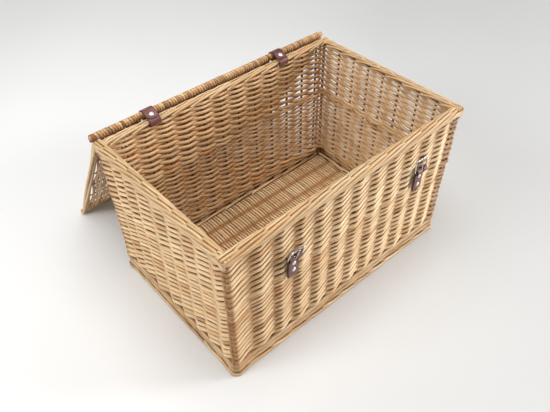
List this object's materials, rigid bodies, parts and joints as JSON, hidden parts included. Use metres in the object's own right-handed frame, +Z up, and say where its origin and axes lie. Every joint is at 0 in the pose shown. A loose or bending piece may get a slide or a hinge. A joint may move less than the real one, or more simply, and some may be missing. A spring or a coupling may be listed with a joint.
{
  "type": "wicker trunk",
  "caption": "Open rectangular wicker storage trunk with a woven lid hung on leather loops, leaning back to the floor, and leather straps and wire buckles to close it.",
  "frame": {"origin": "centre of the underside of the base, on the floor", "axes": "+X to the right along the length, seen from the buckled front; -Y is the front, +Y the hinge side; +Z up"},
  "size_m": [0.6, 0.7629, 0.3547],
  "materials": {
    "willow": "steamed willow rods, smooth, lightly varnished",
    "willow_border": "thicker willow rods and split skein, smooth, lightly varnished",
    "willow_stick": "straight willow sticks",
    "leather": "dark purple-brown leather, slightly glossy, cut edges",
    "steel": "bright plated steel"
  },
  "bodies": {
    "trunk": {"base_weave": "willow", "base_stick_1": "willow_stick", "base_stick_2": "willow_stick", "base_stick_3": "willow_stick", "base_stick_4": "willow_stick", "base_stick_5": "willow_stick", "base_stick_6": "willow_stick", "base_stick_7": "willow_stick", "base_stick_8": "willow_stick", "foot_front": "willow_border", "foot_back": "willow_border", "foot_left": "willow_border", "foot_right": "willow_border", "wale_front": "willow_border", "wale_back": "willow_border", "wale_left": "willow_border", "wale_right": "willow_border", "wall_front": "willow", "wall_back": "willow", "wall_left": "willow", "wall_right": "willow", "rim_front": "willow_border", "rim_back": "willow_border", "rim_left": "willow_border", "rim_right": "willow_border", "post_front_left": "willow_border", "post_front_right": "willow_border", "post_back_left": "willow_border", "post_back_right": "willow_border", "hinge_strap_left": "leather", "hinge_rivet_left": "steel", "buckle_tab_left": "leather", "tab_rivet_left_upper": "steel", "tab_rivet_left_lower": "steel", "hinge_strap_right": "leather", "hinge_rivet_right": "steel", "buckle_tab_right": "leather", "tab_rivet_right_upper": "steel", "tab_rivet_right_lower": "steel"},
    "lid": {"lid_weave": "willow", "lid_stick_1": "willow_stick", "lid_stick_2": "willow_stick", "lid_stick_3": "willow_stick", "lid_stick_4": "willow_stick", "lid_stick_5": "willow_stick", "lid_stick_6": "willow_stick", "lid_border_front": "willow_border", "lid_border_left": "willow_border", "lid_border_right": "willow_border", "hinge_bar_wrap": "willow_border", "hinge_bar_core": "willow_stick"},
    "closing_strap_left": {"lid_strap_left": "leather", "strap_rivet_left": "steel"},
    "closing_strap_right": {"lid_strap_right": "leather", "strap_rivet_right": "steel"},
    "buckle_left": {"buckle_frame_left": "steel"},
    "prong_left": {"buckle_prong_left": "steel"},
    "buckle_right": {"buckle_frame_right": "steel"},
    "prong_right": {"buckle_prong_right": "steel"}
  },
  "joints": [
    {"name": "lid_hinge", "type": "hinge", "parent": "trunk", "child": "lid", "pos_m": [0, 0.202, 0.344], "axis": [1, 0, 0], "range_deg": [0, 238.1]},
    {"name": "closing_strap_left_swing", "type": "hinge", "parent": "lid", "child": "closing_strap_left", "pos_m": [-0.157, 0.40083, 0.01015], "axis": [1, 0, 0], "range_deg": [0, 118]},
    {"name": "closing_strap_right_swing", "type": "hinge", "parent": "lid", "child": "closing_strap_right", "pos_m": [0.183, 0.40083, 0.01015], "axis": [1, 0, 0], "range_deg": [0, 118]},
    {"name": "buckle_left_swing", "type": "hinge", "parent": "trunk", "child": "buckle_left", "pos_m": [-0.157, -0.19772, 0.24393], "axis": [1, 0, 0], "range_deg": [-24, 89]},
    {"name": "prong_left_swing", "type": "hinge", "parent": "buckle_left", "child": "prong_left", "pos_m": [-0.157, -0.19772, 0.24393], "axis": [1, 0, 0], "range_deg": [0, 42]},
    {"name": "buckle_right_swing", "type": "hinge", "parent": "trunk", "child": "buckle_right", "pos_m": [0.183, -0.19772, 0.24393], "axis": [1, 0, 0], "range_deg": [-2, 111]},
    {"name": "prong_right_swing", "type": "hinge", "parent": "buckle_right", "child": "prong_right", "pos_m": [0.183, -0.19772, 0.24393], "axis": [1, 0, 0], "range_deg": [0, 42]}
  ]
}
